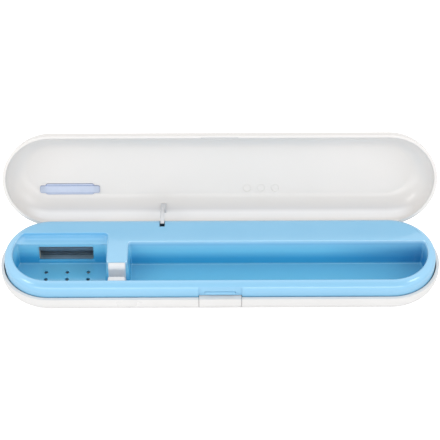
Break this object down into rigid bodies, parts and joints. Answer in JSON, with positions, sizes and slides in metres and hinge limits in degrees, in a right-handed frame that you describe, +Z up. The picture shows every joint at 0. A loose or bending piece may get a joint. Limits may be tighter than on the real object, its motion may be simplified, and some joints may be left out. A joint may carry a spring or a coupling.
{
  "type": "uv toothbrush sterilizer",
  "caption": "Long slot-shaped travel case for a toothbrush, open hinged lid, blue inner tray, lamp window in the head chamber and a sprung push button latch.",
  "frame": {"origin": "centre of the flat underside of the base", "axes": "+X to the right along the case, seen from the front; +Y to the hinge side at the back; +Z up. The lid stands open on its stops."},
  "size_m": [0.235, 0.0829, 0.0613],
  "materials": {
    "white_shell": "satin",
    "blue_tray": "gloss",
    "lens": "gloss",
    "grey_plastic": "satin",
    "dark_plastic": "matte",
    "ferrite": "matte",
    "ceramic": "matte",
    "board": "satin",
    "lamp_glass": "gloss",
    "cap_metal": "satin",
    "reflector": "polished",
    "cell": "gloss",
    "steel": "satin",
    "wire": "satin"
  },
  "bodies": {
    "case": {"base_shell": "white_shell", "inner_tray": "blue_tray", "battery_door": "white_shell", "neck_cradle": "white_shell", "hinge_pins": "steel", "latch_springs": "steel", "switch_body": "dark_plastic", "uv_lamp_tube": "lamp_glass", "lamp_cap_left": "cap_metal", "lamp_cap_right": "cap_metal", "lamp_holder_left": "ceramic", "lamp_holder_right": "ceramic", "lamp_reflector": "reflector", "lamp_wires": "wire", "circuit_board": "board", "board_screws": "steel", "transformer": "ferrite", "capacitor": "dark_plastic", "timer_chip": "dark_plastic", "transistor": "dark_plastic", "resistors": "ceramic", "battery_cell_left": "cell", "battery_cell_right": "cell", "battery_spring": "steel", "battery_plate": "steel", "battery_wires": "wire", "case_screws": "steel"},
    "lid": {"lid_shell": "white_shell", "lid_window": "lens", "lid_arm": "grey_plastic"},
    "latch": {"latch_button": "white_shell", "latch_catch": "blue_tray"},
    "plunger": {"switch_plunger": "grey_plastic"}
  },
  "joints": [
    {"name": "lid_hinge", "type": "hinge", "parent": "case", "child": "lid", "pos_m": [0, 0.0267, 0.0115], "axis": [1, 0, 0], "range_deg": [0, 111]},
    {"name": "latch_slide", "type": "slide", "parent": "case", "child": "latch", "axis": [0, 1, 0], "range_m": [0, 0.0007], "stiffness_N_per_m": 500, "springref_m": -0.0005, "deforming": ["latch_springs"]},
    {"name": "switch_slide", "type": "slide", "parent": "case", "child": "plunger", "axis": [-1, 0, 0], "range_m": [0, 0.0006]}
  ],
  "couplings": [
    {"joint": "switch_slide", "follows": "lid_hinge", "m_per_rad": 0.000309}
  ]
}
